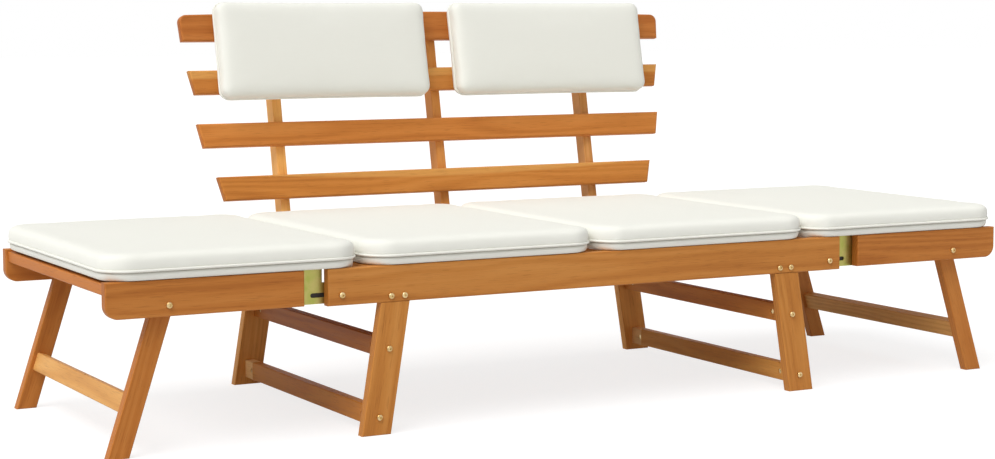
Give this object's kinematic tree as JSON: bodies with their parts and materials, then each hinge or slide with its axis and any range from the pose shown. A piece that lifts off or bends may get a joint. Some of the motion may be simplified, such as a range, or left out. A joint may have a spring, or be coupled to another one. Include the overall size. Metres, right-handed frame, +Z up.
{
  "type": "sun lounger bench",
  "caption": "Slatted wooden garden bench with a backrest, loose cushions and hinged end wings on folding legs that open it into a lounger.",
  "frame": {"origin": "on the floor, below the middle of the outline", "axes": "+Z up, +X along the bench to the right as seen from the front, the front faces -Y"},
  "size_m": [1.9, 0.7474, 0.7613],
  "materials": {
    "acacia": "oiled, satin",
    "cushion_cloth": "woven cloth, matt",
    "bolt_zinc": "yellow zinc plating",
    "plate_zinc": "yellow-green zinc plating",
    "glide_nylon": "black nylon, matt"
  },
  "bodies": {
    "base": {"back_post_centre": "acacia", "back_post_left": "acacia", "back_post_right": "acacia", "back_slat_1": "acacia", "back_slat_2": "acacia", "back_slat_3": "acacia", "back_slat_4": "acacia", "front_left_leg": "acacia", "front_rail": "acacia", "front_right_leg": "acacia", "left_back_cushion": "cushion_cloth", "left_lower_stretcher": "acacia", "left_seat_cushion": "cushion_cloth", "left_upper_stretcher": "acacia", "leg_bolts": "bolt_zinc", "post_bolts": "bolt_zinc", "rear_left_leg": "acacia", "rear_rail": "acacia", "rear_right_leg": "acacia", "right_back_cushion": "cushion_cloth", "right_lower_stretcher": "acacia", "right_seat_cushion": "cushion_cloth", "right_upper_stretcher": "acacia", "seat_slat_01": "acacia", "seat_slat_02": "acacia", "seat_slat_03": "acacia", "seat_slat_04": "acacia", "seat_slat_05": "acacia", "seat_slat_06": "acacia", "seat_slat_07": "acacia", "seat_slat_08": "acacia", "seat_slat_09": "acacia", "seat_slat_10": "acacia", "slat_screws": "bolt_zinc", "stretcher_bolts": "bolt_zinc"},
    "left_pivot": {"left_pivot_bolts": "bolt_zinc", "left_glide_strips": "glide_nylon"},
    "left_wing": {"left_wing_front_rail": "acacia", "left_wing_rear_rail": "acacia", "left_wing_slats": "acacia", "left_front_plate": "plate_zinc", "left_rear_plate": "plate_zinc", "left_plate_screws": "bolt_zinc", "left_wing_leg_bolts": "bolt_zinc"},
    "left_wing_legs": {"left_wing_front_leg": "acacia", "left_wing_rear_leg": "acacia", "left_wing_stretcher": "acacia"},
    "left_end_pad": {"left_end_cushion": "cushion_cloth"},
    "right_pivot": {"right_pivot_bolts": "bolt_zinc", "right_glide_strips": "glide_nylon"},
    "right_wing": {"right_wing_front_rail": "acacia", "right_wing_rear_rail": "acacia", "right_wing_slats": "acacia", "right_front_plate": "plate_zinc", "right_rear_plate": "plate_zinc", "right_plate_screws": "bolt_zinc", "right_wing_leg_bolts": "bolt_zinc"},
    "right_wing_legs": {"right_wing_front_leg": "acacia", "right_wing_rear_leg": "acacia", "right_wing_stretcher": "acacia"},
    "right_end_pad": {"right_end_cushion": "cushion_cloth"}
  },
  "joints": [
    {"name": "left_wing_hinge", "type": "hinge", "parent": "base", "child": "left_pivot", "pos_m": [-0.526, 0, 0.2533], "axis": [0, 1, 0], "range_deg": [0, 90]},
    {"name": "left_wing_slide", "type": "slide", "parent": "left_pivot", "child": "left_wing", "axis": [1, 0, 0], "range_m": [0, 0.023]},
    {"name": "left_leg_hinge", "type": "hinge", "parent": "left_wing", "child": "left_wing_legs", "pos_m": [-0.84, 0, 0.257], "axis": [0, -1, 0], "range_deg": [0, 107.9]},
    {"name": "left_cushion_turn", "type": "hinge", "parent": "base", "child": "left_end_pad", "pos_m": [-0.4785, 0, 0.35], "axis": [0, 1, 0], "range_deg": [0, 180]},
    {"name": "right_wing_hinge", "type": "hinge", "parent": "base", "child": "right_pivot", "pos_m": [0.526, 0, 0.2533], "axis": [0, -1, 0], "range_deg": [0, 90]},
    {"name": "right_wing_slide", "type": "slide", "parent": "right_pivot", "child": "right_wing", "axis": [-1, 0, 0], "range_m": [0, 0.023]},
    {"name": "right_leg_hinge", "type": "hinge", "parent": "right_wing", "child": "right_wing_legs", "pos_m": [0.84, 0, 0.257], "axis": [0, 1, 0], "range_deg": [0, 107.9]},
    {"name": "right_cushion_turn", "type": "hinge", "parent": "base", "child": "right_end_pad", "pos_m": [0.4785, 0, 0.35], "axis": [0, -1, 0], "range_deg": [0, 180]}
  ],
  "couplings": [
    {"joint": "left_cushion_turn", "follows": "left_wing_hinge", "ratio": 2},
    {"joint": "right_cushion_turn", "follows": "right_wing_hinge", "ratio": 2}
  ]
}
